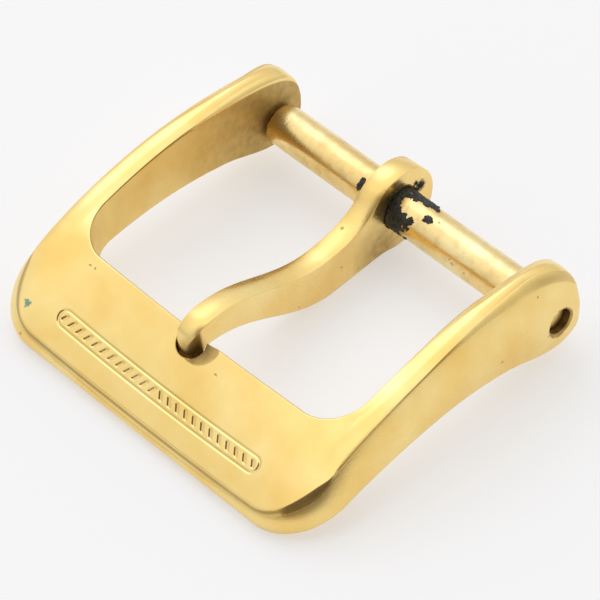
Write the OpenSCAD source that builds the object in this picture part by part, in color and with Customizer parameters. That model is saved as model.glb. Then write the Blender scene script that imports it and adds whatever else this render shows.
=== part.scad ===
// Watch strap buckle: a cast frame, a swinging tongue and a sprung bar.
// The origin is the middle of the bar, X runs along the bar, the front bar lies at -Y and Z is up.
// At rest the buckle lies on the lower front edge and on the tongue's eye, as on a table.

/* [Strap and bar] */
// Inner width between the two lugs, the nominal width of the strap end
strap_w = 16; // [12:0.5:22]
// Outer diameter of the bar's tube
tube_d = 2.0; // [1.8:0.05:2.1]
// Wall of the tube
tube_wall = 0.28; // [0.2:0.02:0.32]
// Free space between each end of the tube and its lug
tube_end_gap = 0.15; // [0.05:0.05:0.4]
// Thickness of the rolled lip that closes each end of the tube
tube_lip = 0.3; // [0.2:0.05:0.5]
// Radius rolled onto the rim of each tube end
tube_rim_r = 0.2; // [0.1:0.05:0.28]

/* [Plungers and spring] */
// Diameter of the pin that stands in the lug
pin_d = 1.15; // [0.8:0.05:1.18]
// Length of the plunger's head inside the tube
head_len = 1.0; // [0.6:0.1:2]
// Length of the tail that keeps the spring centred
tail_len = 1.3; // [0.6:0.1:2.5]
// Diameter of the tail
tail_d = 0.56; // [0.4:0.02:0.6]
// Depth of the pin's end below the lug's outer face
pin_recess = 0.45; // [0.1:0.05:0.6]
// Diameter of the spring's wire
wire_d = 0.2; // [0.14:0.02:0.24]
// Outer diameter of the spring
spring_d = 1.2; // [1.1:0.02:1.26]
// Number of curls in the spring
curls = 15; // [10:1:18]

/* [Fits] */
// Clearance on the radius between the pin and the lug's hole
pin_clear = 0.075; // [0.03:0.005:0.1]
// Clearance on the radius between the plunger's head and the tube
head_clear = 0.03; // [0.02:0.005:0.06]
// Clearance on the radius between the pin and the tube's lip
lip_clear = 0.05; // [0.03:0.005:0.08]
// Clearance on the radius between the tongue's eye and the tube
eye_clear = 0.1; // [0.06:0.01:0.1]
// Gap left between faces that touch on the real buckle
seat_gap = 0.02; // [0.01:0.005:0.05]

/* [Frame, seen from above] */
// Wall of a lug at the bar's hole
lug_wall = 1.75; // [1.4:0.05:2.4]
// Width by which the lug's outer face leans in towards its top
lug_lean = 0.5; // [0:0.05:0.8]
// Part of that lean that is filled out again round the lug's end
lug_fill = 0.35; // [0:0.05:0.5]
// Rounding of the lug's outer edge behind the bar
lug_round = 0.45; // [0.2:0.05:0.6]
// Extra width of the opening, each side, at the top of the arms
arm_flare = 0.28; // [0:0.02:0.4]
// Half of the outer width at the front corners, along the upper edge
corner_top_w = 9.48; // [9.2:0.02:10]
// Half of the outer width at the front corners, along the lower edge
corner_low_w = 10.05; // [9.8:0.05:10.6]
// Distance from the bar's axis to the inner face of the front bar
front_in = 12.42; // [11:0.1:14]
// Distance from the bar's axis to the front face
front_out = 16.08; // [15:0.1:18]
// Bow of the front bar's inner face
front_bow = 0.2; // [0:0.05:0.4]
// Radius of the opening's corners
inner_r = 2.05; // [1.2:0.05:2.6]
// Radius of the front corners along the upper edge
outer_top_r = 2.5; // [1.6:0.1:3.2]
// Radius of the front corners along the lower edge
outer_low_r = 2.85; // [1.8:0.05:3.4]

/* [Frame, seen from the side] */
// Height of the arms' crest over the bar's axis
crest_z = 3.0; // [2.6:0.05:3.6]
// Distance of the crest in front of the bar's axis
crest_y = 3.4; // [2.6:0.1:4.4]
// Reach of a lug behind and below the bar's axis
lug_r = 1.45; // [1.3:0.05:1.8]
// Squareness of the lug's rounded end, 2 being an ellipse
lug_square = 3.2; // [2.2:0.1:3.6]
// Height of the arms' top at the middle of their length
waist_z = 2.42; // [2:0.02:2.7]
// Height of the arms' top beside the front bar's inner face
shoulder_z = 1.0; // [0.7:0.05:1.3]
// Height of the upper edge at the front corners
corner_z = -1.15; // [-1.4:0.05:-0.9]
// Height of the front bar's inner upper edge, at the middle
front_high_z = 1.49; // [1.2:0.05:1.8]
// Height of the front bar's outer upper edge, at the middle
front_low_z = -1.5; // [-1.7:0.05:-1.2]
// Height of the lower edge at the front, which rests on the table
foot_z = -2.25; // [-2.4:0.05:-2.1]
// Height of the front bar's lower inner edge
under_z = -0.75; // [-1:0.05:-0.5]
// Height of the arms' underside at its highest
hollow_z = -0.1; // [-0.4:0.05:0.2]
// Distance of that highest place in front of the bar's axis
hollow_y = 7.3; // [6:0.1:9]
// Height of the arms' underside below the crest
throat_z = -0.52; // [-0.8:0.02:-0.3]
// Crown of the arms' and front bar's top faces
crown = 0.1; // [0:0.02:0.2]
// Bulge of the outer side faces
side_bulge = 0.12; // [0:0.02:0.2]
// Softened edge of the casting
edge_r = 0.14; // [0.06:0.02:0.2]
// Extra softening of the upper edge round the front corners
corner_soft = 0.32; // [0:0.02:0.4]

/* [Notch for the tongue] */
// Radius of the ball cutter that makes the notch
notch_r = 0.82; // [0.8:0.01:0.84]
// Height of the cutter's centre over the bar's axis
notch_z = 1.1; // [1.08:0.01:1.12]
// Place of the notch along the bar
notch_x = -0.08; // [-0.11:0.01:-0.05]
// Distance of the cutter's centre in front of the front bar's inner face
notch_in = 0.3; // [0.28:0.01:0.32]
// Radius of the larger ball that dishes the rim beside the notch
dish_r = 3; // [2.4:0.1:4]
// Depth of that dish below the ramp
dish_deep = 0.2; // [0.1:0.02:0.24]
// Place of the dish along the bar
dish_x = 0.46; // [0.3:0.02:0.7]
// Distance of the dish's middle in front of the front bar's inner face
dish_in = 0; // [-0.2:0.05:0.3]

/* [Tongue] */
// Thickness of the tongue's plate
tongue_w = 1.1; // [0.8:0.05:1.3]
// Outer radius of the tongue's eye
eye_r = 2.12; // [1.9:0.02:2.2]
// Height of the blade at its root, behind the belly
root_t = 2.24; // [1.8:0.02:2.6]
// Height of the blade at its hump
hump_t = 1.3; // [1:0.05:1.6]
// Thickness of the nose that turns down into the notch
nose_t = 1.0; // [0.8:0.02:1.2]
// Distance from the bar's axis to the lowest place of the blade
belly_at = 4.6; // [4:0.1:5.4]
// Distance from the hump to the front bar's inner face
hump_back = 0.46; // [0.3:0.02:0.7]
// Height of the blade's middle line at the belly
belly_z = -0.88; // [-1:0.02:-0.7]
// Height of the blade's middle line at the hump
hump_z = 1.52; // [1.46:0.02:1.7]
// Height of the nose's end over the notch's lowest place
nose_gap = 0.32; // [0.3:0.01:0.36]
// Length over which the blade's right side is ground to the point
nose_long = 1.6; // [1:0.1:2.4]
// Length over which its left side is rounded
nose_short = 0.35; // [0.2:0.05:0.6]
// Extra height of the blade where it runs into the eye
root_flare = 1.3; // [0.8:0.05:1.5]
// Distance that the tongue's eye has slid along the bar
tongue_slid = -0.65; // [-1:0.05:1]
// Place along the bar at which the blade meets the notch
nose_x = -0.08; // [-0.11:0.01:-0.05]

/* [Hidden] */

gold = "#d9ad4e";
gold_bar = "#c79a44";
steel = "#b9b4aa";
fn_round = 64;

tube_r = tube_d / 2;
bore_r = tube_r - tube_wall;
pin_r = pin_d / 2;
hole_r = pin_r + pin_clear;
lip_r = pin_r + lip_clear;
head_r = bore_r - head_clear;
eye_bore_r = tube_r + eye_clear;
half_w = strap_w / 2;
tube_half = half_w - tube_end_gap;
head_out = tube_half - tube_lip - seat_gap;
head_in = head_out - head_len;
tail_in = head_in - tail_len;
// The outer widths were taken on a strap of this width, and follow it
measured_w = 16;
wider = (strap_w - measured_w) / 2;
lug_low_w = half_w + lug_wall;
lug_top_w = lug_low_w - lug_lean;
pin_out = lug_low_w - pin_recess;
front_slope = (front_high_z - front_low_z) / (front_out - front_in);
// The ramp of the front bar is followed this far into the corners
ramp_reach = 1.5;
// Half width at which the ramp has become the arms' arch
crown_w = 8.5 + wider;
// Slopes of the arms' top and underside where they meet the front
corner_slope = 0.75;
foot_slope = 0.5;

function clamp01(u) = min(1, max(0, u));
function ease(u) = (1 - cos(180 * clamp01(u))) / 2;
function mix(a, b, u) = a + (b - a) * u;

// A smooth curve through keys of [place, height, slope], with the places rising
function span(keys, y, i = 0) =
    i >= len(keys) - 2 || y < keys[i + 1][0] ? i : span(keys, y, i + 1);
function bent(a, b, y) =
    let (long = b[0] - a[0], u = clamp01((y - a[0]) / long))
    a[1] * (1 + 2 * u) * pow(1 - u, 2) + b[1] * (3 - 2 * u) * u * u
    + long * (a[2] * u * pow(1 - u, 2) - b[2] * u * u * (1 - u));
function through(keys, y) = let (i = span(keys, y)) bent(keys[i], keys[i + 1], y);
function slope(a, b) = (b[1] - a[1]) / (b[0] - a[0]);

// Side view of an arm's top, from the front face to the crest
waist_y = -(crest_y + front_in) / 2;
top_keys = let (
        front = [-front_out, corner_z],
        shoulder = [-front_in, shoulder_z],
        waist = [waist_y, waist_z],
        crest = [-crest_y, crest_z])
    [[front[0], front[1], corner_slope],
     [shoulder[0], shoulder[1], slope(front, waist)],
     [waist[0], waist[1], slope(shoulder, crest)],
     [crest[0], crest[1], 0]];

// Side view of an arm's underside, from the front face to below the bar
low_keys = let (
        foot = [-front_out, foot_z],
        under = [-front_in, under_z],
        hollow = [-hollow_y, hollow_z],
        throat = [-crest_y, throat_z],
        lug = [0, -lug_r])
    [[foot[0], foot[1], foot_slope],
     [under[0], under[1], slope(foot, hollow)],
     [hollow[0], hollow[1], 0],
     [throat[0], throat[1], slope(hollow, lug)],
     [lug[0], lug[1], 0]];

// The lug's end is a quarter of a squared ellipse, from the crest to behind the bar
lug_long = crest_y + lug_r;
function lug_top(y) = crest_z * pow(max(0, 1 - pow((y + crest_y) / lug_long, lug_square)), 1 / lug_square);
function arm_top(y) = y > -crest_y ? lug_top(y) : through(top_keys, y);
function arm_low(y) = y > 0 ? -sqrt(max(0, lug_r * lug_r - y * y)) : through(low_keys, y);
function ramp(y) = front_high_z + front_slope * (min(y, -front_in + ramp_reach) + front_in);
function top_z(p) = mix(ramp(p[1]), arm_top(p[1]), clamp01(pow(p[0] / crown_w, 2)));
function low_z(p) = arm_low(p[1]);

// Half of an edge seen from above: front bar 0 to 1, corner 1 to 2, arm 2 to 3 and lug 3 to 4.
// w is the half width at the corner, f the distance to the front, r the corner's radius,
// b the bow of the front and l the half width at the lug.
// The lug is drawn through a little less than a quarter turn, so that its end keeps some height
lug_turn = 86;
// Share of the arm's narrowing that is done at the crest, how late it starts, and how soon the rest is done
arm_taper = 0.65;
taper_late = 1.5;
taper_soon = 1.5;
function edge(t, w, f, r, b, l) =
    t <= 1 ? [(w - r) * t, -f + b * t * t]
    : t <= 2 ? [w - r + r * sin(90 * (t - 1)), -f + b + r - r * cos(90 * (t - 1))]
    : t <= 3 ? [mix(w, l, arm_taper * ease(pow(t - 2, taper_late))), mix(-f + b + r, -crest_y, t - 2)]
    : [mix(w, l, mix(arm_taper, 1, ease(taper_soon * (t - 3)))), -crest_y + lug_long * sin(lug_turn * (t - 3))];
// Outer edges tuck in round the lug's end, by nearly a quarter circle
tuck_share = 0.99;
function tuck(p) = let (u = clamp01((p[1] - lug_r) / lug_round + 1))
    [p[0] - lug_round * (1 - sqrt(1 - tuck_share * u * u)), p[1]];
function inner_top(t) = edge(t, half_w + arm_flare, front_in, inner_r, front_bow, half_w);
function inner_low(t) = edge(t, half_w, front_in, inner_r, front_bow, half_w);
function fill(p) = [p[0] + lug_fill * ease((p[1] + lug_r) / (2 * lug_r)), p[1]];
function outer_top(t) = tuck(fill(edge(t, corner_top_w + wider, front_out, outer_top_r, 0, lug_top_w)));
function outer_low(t) = tuck(edge(t, corner_low_w + wider, front_out, outer_low_r, 0, lug_low_w));

function along(a, b, far) = a + (b - a) * far / norm(b - a);
function lift(p, z) = [p[0], p[1], z];

// The outer side faces are flat at the front and grow rounder from here to the lugs, by this power
round_from = 2.2;
side_round = 1.6;
// The upper edge is softest halfway round a front corner, and as sharp as the rest again at this place
soft_end = 2.15;
function soft_top(t) = edge_r + corner_soft * pow(sin(180 * clamp01((t - 1) / (soft_end - 1))), 2);

// One section of the frame, as a ring of points with softened corners
function section(t) =
    let (a = inner_top(t), b = outer_top(t), c = outer_low(t), d = inner_low(t),
        a_in = along(a, b, edge_r), b_in = along(b, a, soft_top(t)),
        c_in = along(c, d, edge_r), d_in = along(d, c, edge_r),
        a_z = top_z(a), b_z = top_z(b), c_z = low_z(c), d_z = low_z(d),
        soft = min(edge_r, (b_z - c_z) / 4), soft_b = min(soft_top(t), (b_z - c_z) / 4),
        round = 1 + side_round * ease(t - round_from),
        out = (b - a) / norm(b - a) * side_bulge)
    [lift(d, d_z + soft), lift(a, a_z - soft),
     lift(a_in, top_z(a_in)),
     for (u = [0.25 : 0.25 : 0.75]) let (p = mix(a_in, b_in, u)) lift(p, top_z(p) + crown * 4 * u * (1 - u)),
     lift(b_in, top_z(b_in)), lift(b, b_z - soft_b),
     for (u = [0.25 : 0.25 : 0.75])
        lift(mix(b, c, 1 - pow(1 - u, round)) + out * 4 * u * (1 - u) / round, mix(b_z - soft_b, c_z + soft, u)),
     lift(c, c_z + soft), lift(c_in, low_z(c_in)), lift(d_in, low_z(d_in))];

// Sections from the right lug round the front to the left lug
front_steps = 6;
corner_steps = 10;
arm_steps = 10;
lug_steps = 14;
stations = [
    for (i = [0 : front_steps - 1]) i / front_steps,
    for (i = [0 : corner_steps - 1]) 1 + i / corner_steps,
    for (i = [0 : arm_steps - 1]) 2 + i / arm_steps,
    for (i = [0 : lug_steps]) 3 + i / lug_steps];
last = len(stations) - 1;
function left(ring) = [for (p = ring) [-p[0], p[1], p[2]]];

module loft(rings) {
    n = len(rings[0]);
    m = len(rings);
    faces = concat(
        [[for (j = [n - 1 : -1 : 0]) j]],
        [for (i = [0 : m - 2], j = [0 : n - 1]) let (k = (j + 1) % n)
            each [[i * n + j, (i + 1) * n + k, (i + 1) * n + j], [i * n + j, i * n + k, (i + 1) * n + k]]],
        [[for (j = [0 : n - 1]) (m - 1) * n + j]]);
    polyhedron([for (ring = rings) each ring], faces, convexity = 6);
}

module along_x(long, r) {
    rotate([0, 90, 0])
        cylinder(h = long, r = r, center = true, $fn = fn_round);
}

// Cast frame: two arched arms, a sloping front bar, drilled lugs and the scooped notch
module frame() {
    color(gold)
        difference() {
            loft([
                for (i = [last : -1 : 0]) section(stations[i]),
                for (i = [1 : last]) left(section(stations[i]))]);
            for (side = [-1, 1])
                translate([side * (half_w + lug_wall / 2), 0, 0])
                    along_x(2 * lug_wall, hole_r);
            translate([notch_x, -front_in - notch_in, notch_z])
                sphere(r = notch_r, $fn = fn_round);
            translate([dish_x, -front_in - dish_in, ramp(-front_in - dish_in)])
                rotate([atan(front_slope), 0, 0])
                    translate([0, 0, dish_r - dish_deep])
                        sphere(r = dish_r, $fn = fn_round);
        }
}

// Side outline of the tongue's blade, with distances from the bar counted forwards
hump_at = front_in - hump_back;
root_at = 1.2;
nose_chamfer = 0.1;
nose_drop = 0.12;
nose_end_z = notch_z - notch_r + nose_gap;
// The bend that turns the nose down ends just above the nose's chamfered end
nose_z = nose_end_z + nose_drop;
nose_bend = hump_z - nose_z;
function blade_mid(s) = mix(belly_z, hump_z, ease((s - belly_at) / (hump_at - belly_at)));
function blade_t(s) = mix(root_t, hump_t, clamp01((s - belly_at) / (hump_at - belly_at)));
function flare(s) = root_flare * pow(clamp01((belly_at - s) / (belly_at - root_at)), 2.5);
function blade_top(s) = blade_mid(s) + blade_t(s) / 2 + flare(s);
function blade_low(s) = blade_mid(s) - blade_t(s) / 2;
function nose(a, side) =
    let (r = max(nose_drop, nose_bend + side * mix(hump_t, nose_t, a / 90) / 2))
    [-hump_at - r * sin(a), nose_z + r * cos(a)];
nose_out = hump_at + nose_bend + nose_t / 2;
blade_steps = 24;
blade_places = [for (i = [0 : blade_steps]) mix(root_at, hump_at, i / blade_steps)];

// The point is ground just behind the place that the bend reaches farthest
nose_cut = 0.04;
// Half of the plate's width, seen from above, where its side is ground over a length
ground_power = 2.6;
rounded_power = 3;
function half_plate(u, power) = tongue_w / 2 * sqrt(max(0, 1 - pow(u, power)));
// The curve runs this far outside the plate's sides, and this far back before it crosses them
point_over = 0.05;
point_lead = 0.3;
point_steps = 10;

// One side of the point as a curve from the plate's side to the tip, seen from above
function point_side(side, long, power) =
    [for (i = [0 : point_steps]) let (u = sin(mix(15, 90, i / point_steps)))
        [side * half_plate(u, power), -(nose_out - nose_cut - long * (1 - u))]];

// What is ground away round the tongue's point, seen from above
module point_waste() {
    wide = tongue_w / 2 + point_over;
    back = point_lead + nose_long - nose_out;
    right = point_side(1, nose_long, ground_power);
    left = point_side(-1, nose_short, rounded_power);
    difference() {
        translate([-tongue_w, -nose_out - tongue_w])
            square([2 * tongue_w, nose_long + tongue_w]);
        polygon(concat(
            [[wide, back], [-wide, back], [-wide, left[0][1]]],
            left,
            [for (i = [point_steps - 1 : -1 : 0]) right[i]],
            [[wide, right[0][1]]]));
    }
}

module blade_outline() {
    polygon(concat(
        [[0, -eye_r / 2], [0, eye_r / 2]],
        [for (s = blade_places) [-s, blade_top(s)]],
        [for (a = [10 : 10 : 90]) nose(a, 1)],
        [[-nose_out, nose_end_z + nose_chamfer], [-nose_out + nose_chamfer, nose_end_z]],
        [for (a = [45 : -15 : 15]) nose(a, -1)],
        [for (i = [blade_steps : -1 : 0]) let (s = blade_places[i]) [-s, blade_low(s)]]));
}

// Tongue: a stamped plate with a drilled eye, slid a little along the bar, its nose in the notch
tongue_skew = atan2(nose_x - tongue_slid, front_in);
// The eye's outer round hangs low enough to stand on the table with the frame's foot
eye_drop = -foot_z - eye_r;
module tongue() {
    color(gold)
        translate([tongue_slid, 0, 0])
            rotate([0, 0, tongue_skew])
                difference() {
                    rotate([90, 0, 90])
                        translate([0, 0, -tongue_w / 2])
                            linear_extrude(tongue_w) {
                                blade_outline();
                                translate([0, -eye_drop])
                                    circle(r = eye_r, $fn = fn_round);
                            }
                    translate([0, 0, -2 * eye_r])
                        linear_extrude(4 * eye_r)
                            point_waste();
                    along_x(2 * tongue_w, eye_bore_r);
                }
}

// Tube of the sprung bar, with its ends rolled in over the plungers' heads
module bar_tube() {
    rim = [for (a = [0 : 15 : 90]) [tube_r - tube_rim_r + tube_rim_r * cos(a),
                                    tube_half - tube_rim_r + tube_rim_r * sin(a)]];
    half = concat(rim, [[lip_r, tube_half], [lip_r, tube_half - tube_lip], [bore_r, tube_half - tube_lip]]);
    color(gold_bar)
        rotate([0, 90, 0])
            rotate_extrude($fn = fn_round)
                polygon(concat(half, [for (i = [len(half) - 1 : -1 : 0]) [half[i][0], -half[i][1]]]));
}

// Plunger: tail in the spring, head held by the tube's lip, pin in the lug's hole
pin_chamfer = 0.12;
module plunger() {
    color(gold_bar)
        rotate([0, 90, 0])
            rotate_extrude($fn = fn_round)
                polygon([[0, tail_in], [tail_d / 2, tail_in], [tail_d / 2, head_in], [head_r, head_in],
                         [head_r, head_out], [pin_r, head_out], [pin_r, pin_out - pin_chamfer],
                         [pin_r - pin_chamfer, pin_out], [0, pin_out]]);
}

module plunger_right() {
    plunger();
}

module plunger_left() {
    mirror([1, 0, 0]) plunger();
}

// Spring: one unbroken wire between the plungers' heads
rings_per_curl = 8;
wire_sides = 6;
coil_r = (spring_d - wire_d) / 2;
spring_half = head_in - seat_gap - wire_d / 2;
spring_rings = curls * rings_per_curl;
pitch = 2 * spring_half / curls;
function coil_point(i, r = coil_r) = let (a = 360 * i / rings_per_curl)
    [mix(-spring_half, spring_half, i / spring_rings), r * cos(a), r * sin(a)];
function wire_ring(i) =
    let (a = 360 * i / rings_per_curl,
        lead = atan2(pitch, 2 * PI * coil_r),
        side = [cos(lead), sin(lead) * sin(a), -sin(lead) * cos(a)],
        out = [0, cos(a), sin(a)])
    [for (k = [0 : wire_sides - 1]) let (b = -360 * k / wire_sides)
        coil_point(i) + (side * cos(b) + out * sin(b)) * wire_d / 2];
// Least gap between one curl and the next, measured on the wire's middle line
curl_gap = min([for (i = [0 : rings_per_curl], k = [rings_per_curl - 2 : rings_per_curl + 2])
    norm(coil_point(i) - coil_point(i + k))]) - wire_d;
echo(spring_gap_mm = curl_gap);

module bar_spring() {
    color(steel)
        loft([for (i = [0 : spring_rings]) wire_ring(i)]);
}

frame();
tongue();
bar_tube();
plunger_left();
plunger_right();
bar_spring();
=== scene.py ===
# %% [markdown]
# A watch strap buckle in worn gold plate.
# The real one is three things: a cast frame, a stamped tongue and a sprung bar, all plated together.
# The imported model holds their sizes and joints. Here each piece is modelled again with the soft edges,
# the engraving and the wear that the eye sees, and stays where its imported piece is.

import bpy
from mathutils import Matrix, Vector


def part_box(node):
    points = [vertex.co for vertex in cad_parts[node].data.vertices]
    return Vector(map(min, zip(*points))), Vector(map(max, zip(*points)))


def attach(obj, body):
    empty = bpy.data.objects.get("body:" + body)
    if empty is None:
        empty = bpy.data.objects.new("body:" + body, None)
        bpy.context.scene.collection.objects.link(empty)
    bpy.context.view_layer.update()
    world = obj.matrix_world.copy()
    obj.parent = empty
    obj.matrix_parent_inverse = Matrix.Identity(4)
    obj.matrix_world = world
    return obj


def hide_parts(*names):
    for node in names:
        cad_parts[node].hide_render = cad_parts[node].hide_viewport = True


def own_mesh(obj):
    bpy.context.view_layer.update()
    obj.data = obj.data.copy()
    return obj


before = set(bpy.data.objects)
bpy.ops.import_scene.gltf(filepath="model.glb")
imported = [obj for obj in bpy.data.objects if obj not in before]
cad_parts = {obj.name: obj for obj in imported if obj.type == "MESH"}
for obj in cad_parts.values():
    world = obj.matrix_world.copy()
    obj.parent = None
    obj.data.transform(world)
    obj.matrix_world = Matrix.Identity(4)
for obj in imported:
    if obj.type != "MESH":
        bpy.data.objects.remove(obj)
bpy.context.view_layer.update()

# %% [markdown]
# The script measures in millimetres, as a drawing does. Blender's unit is the metre, so one factor turns
# the one into the other. The small functions below blend two values, and most curves are made with them.

# %% Tools and units
from functools import partial
from math import atan2, cos, floor, pi, radians, sin, sqrt

import bmesh
import bpy
from mathutils import Matrix, Vector, noise

MM = 0.001
weld = 0.0005  # points closer together than this are one point


def mix(a, b, u):
    return a + (b - a) * u


def clamp01(u):
    return min(1.0, max(0.0, u))


def ease(u):
    """Rises from 0 to 1 with a level start and end."""
    return (1 - cos(pi * clamp01(u))) / 2


# %% [markdown]
# The camera comes first, because everything is judged through it.
# The photograph was taken from the front right, about 47 degrees up, with a long lens from close by:
# the two arms stay nearly parallel. A camera is placed by three directions, so its matrix is built from
# the line of sight and then rolled a little, which is easier to read than three Euler angles.

# %% Camera
view_turn, view_lift, view_roll = radians(47.64), radians(46.95), radians(-2.11)
view_target = Vector((0.887, -7.163, 0.168)) * MM
view_distance = 183.21 * MM
picture_px, focal_px = 600, 4198.46

back = Vector((cos(view_lift) * sin(view_turn), -cos(view_lift) * cos(view_turn), sin(view_lift)))
level = Vector((cos(view_turn), sin(view_turn), 0))
right = level * cos(view_roll) + back.cross(level) * sin(view_roll)
camera_data = bpy.data.cameras.new("camera")
camera_data.sensor_width = 36
camera_data.lens = focal_px / picture_px * camera_data.sensor_width
camera_data.clip_start = 0.01
camera = bpy.data.objects.new("camera", camera_data)
camera.matrix_world = Matrix.Translation(view_target + back * view_distance) @ Matrix(
    (right, back.cross(right), back)).transposed().to_4x4()
bpy.context.scene.collection.objects.link(camera)
bpy.context.scene.camera = camera
print("lens", round(camera_data.lens, 1), "mm")

# %% [markdown]
# Sizes, in millimetres, are those of the part's own source: the same names, so that a change there is
# easy to repeat here. The tube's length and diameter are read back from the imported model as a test.

# %% Sizes
strap_w = 16
tube_d, tube_wall, tube_end_gap, tube_lip, tube_rim_r = 2.0, 0.28, 0.15, 0.3, 0.2
pin_d, head_len, tail_len, tail_d, pin_recess = 1.15, 1.0, 1.3, 0.56, 0.45
wire_d, spring_d, curls = 0.2, 1.2, 15
pin_clear, head_clear, lip_clear, eye_clear, seat_gap = 0.075, 0.03, 0.05, 0.1, 0.02
lug_wall, lug_lean, lug_fill, lug_round, arm_flare = 1.75, 0.5, 0.35, 0.45, 0.28
corner_top_w, corner_low_w, front_in, front_out, front_bow = 9.48, 10.05, 12.42, 16.08, 0.2
inner_r, outer_top_r, outer_low_r = 2.05, 2.5, 2.85
crest_z, crest_y, lug_r, lug_square, waist_z, shoulder_z, corner_z = 3.0, 3.4, 1.45, 3.2, 2.42, 1.0, -1.15
front_high_z, front_low_z, foot_z, under_z = 1.49, -1.5, -2.25, -0.75
hollow_z, hollow_y, throat_z, crown, side_bulge = -0.1, 7.3, -0.52, 0.1, 0.12
notch_r, notch_z, notch_x, notch_in = 0.82, 1.1, -0.08, 0.3
dish_r, dish_deep, dish_x, dish_in = 3, 0.2, 0.46, 0
tongue_w, root_t, hump_t, nose_t, belly_at = 1.1, 2.24, 1.3, 1.0, 4.6
eye_r = 2.115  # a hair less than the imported 2.12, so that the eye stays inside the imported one's box
hump_back, belly_z, hump_z, nose_gap, root_flare = 0.46, -0.88, 1.52, 0.32, 1.3
nose_long, nose_short, nose_cut = 1.6, 0.35, 0.04
tongue_slid, nose_x = -0.65, -0.08

half_w = strap_w / 2
tube_r = tube_d / 2
bore_r = tube_r - tube_wall
pin_r = pin_d / 2
hole_r = pin_r + pin_clear
lip_r = pin_r + lip_clear
head_r = bore_r - head_clear
eye_bore_r = tube_r + eye_clear
tube_half = half_w - tube_end_gap
head_out = tube_half - tube_lip - seat_gap
head_in = head_out - head_len
lug_low_w = half_w + lug_wall
lug_top_w = lug_low_w - lug_lean
pin_out = lug_low_w - pin_recess
lug_long = crest_y + lug_r
tube_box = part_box("bar_tube")
tube_size = tube_box[1] - tube_box[0]
print("tube", [round(size / MM, 2) for size in tube_size], "named", 2 * tube_half, tube_d)

# %% [markdown]
# Every piece is made in millimetres in a bmesh and ends the same way: its normals are made to point
# outwards, it is scaled to metres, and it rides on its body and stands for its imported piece.
# Edges sharper than a given angle stay sharp in the shading, and the rest is smooth.

# %% Finish a piece
def finish_piece(shape, name, body, node=None, sharp=40):
    bmesh.ops.remove_doubles(shape, verts=shape.verts, dist=weld)
    bmesh.ops.recalc_face_normals(shape, faces=shape.faces)
    bmesh.ops.scale(shape, vec=(MM, MM, MM), verts=shape.verts)
    mesh = bpy.data.meshes.new(name)
    shape.to_mesh(mesh)
    shape.free()
    piece = bpy.data.objects.new(name, mesh)
    bpy.context.scene.collection.objects.link(piece)
    soften(piece, sharp)
    weighted = piece.modifiers.new("weighted normals", "WEIGHTED_NORMAL")
    weighted.keep_sharp = True
    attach(piece, body)
    if node:
        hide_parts(node)
    print(name, len(mesh.vertices), "points", len(mesh.polygons), "faces")
    return piece


def soften(piece, sharp):
    for face in piece.data.polygons:
        face.use_smooth = True
    piece.data.set_sharp_from_angle(angle=radians(sharp))


def bent_grid(columns, rows, place):
    """A flat grid of columns by rows cells, each of whose points goes to place(column, row)."""
    shape = bmesh.new()
    bmesh.ops.create_grid(shape, x_segments=columns, y_segments=rows, size=0.5)
    for point in shape.verts:
        point.co = place(round((point.co.x + 0.5) * columns), round((point.co.y + 0.5) * rows))
    return shape


# %% [markdown]
# The frame is a casting. It could be a profile swept along a path, but its section changes all the way
# round: wide and sloping along the front bar, thin and tall in the arms, full at the lugs. So it is
# lofted through sections. Seen from above, four edges run round it: inner and outer, upper and lower.
# Half of each edge is a function of one number: 0 to 1 along the front bar, 1 to 2 round the corner, 2 to
# 3 along the arm and 3 to 4 over the lug. Seen from the side, the top and the underside are smooth curves
# through a few keys. A section joins the four edges at one number.

# %% Curves of the frame
def through(keys, y):
    """Smooth curve through keys of (place, height, slope), with the places rising."""
    i = 0
    while i < len(keys) - 2 and y >= keys[i + 1][0]:
        i += 1
    (a, start, rise_a), (b, end, rise_b) = keys[i], keys[i + 1]
    u = clamp01((y - a) / (b - a))
    return (start * (1 + 2 * u) * (1 - u) ** 2 + end * (3 - 2 * u) * u * u
            + (b - a) * (rise_a * u * (1 - u) ** 2 - rise_b * u * u * (1 - u)))


def slope(a, b):
    return (b[1] - a[1]) / (b[0] - a[0])


corner_slope, foot_slope = 0.75, 0.5
waist_y = -(crest_y + front_in) / 2
top_front, top_shoulder = (-front_out, corner_z), (-front_in, shoulder_z)
top_waist, top_crest = (waist_y, waist_z), (-crest_y, crest_z)
top_keys = [(*top_front, corner_slope), (*top_shoulder, slope(top_front, top_waist)),
            (*top_waist, slope(top_shoulder, top_crest)), (*top_crest, 0)]
low_foot, low_under, low_hollow = (-front_out, foot_z), (-front_in, under_z), (-hollow_y, hollow_z)
low_throat, low_lug = (-crest_y, throat_z), (0, -lug_r)
low_keys = [(*low_foot, foot_slope), (*low_under, slope(low_foot, low_hollow)), (*low_hollow, 0),
            (*low_throat, slope(low_hollow, low_lug)), (*low_lug, 0)]
front_slope = (front_high_z - front_low_z) / (front_out - front_in)
ramp_reach, crown_w = 1.5, 8.5
print("the front bar's top slopes", round(front_slope, 3))


def top_z(p):
    """Height of the top face over a point, a ramp at the middle and an arch over the arms."""
    y = p[1]
    ramp = front_high_z + front_slope * (min(y, -front_in + ramp_reach) + front_in)
    if y > -crest_y:
        share = min(1.0, ((y + crest_y) / lug_long) ** lug_square)
        arch = crest_z * (1 - share) ** (1 / lug_square)
    else:
        arch = through(top_keys, y)
    return mix(ramp, arch, clamp01((p[0] / crown_w) ** 2))


def low_z(p):
    """Height of the underside over a point."""
    y = p[1]
    return -sqrt(max(0, lug_r ** 2 - y * y)) if y > 0 else through(low_keys, y)


# %% Edges seen from above
lug_turn = radians(89.4)  # just short of a quarter turn, so that the last section keeps some height
arm_taper, arm_lag, lug_lead = 0.65, 1.5, 1.5
tuck_far = 0.99  # just short of the whole quarter round, whose end would be a step


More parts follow.
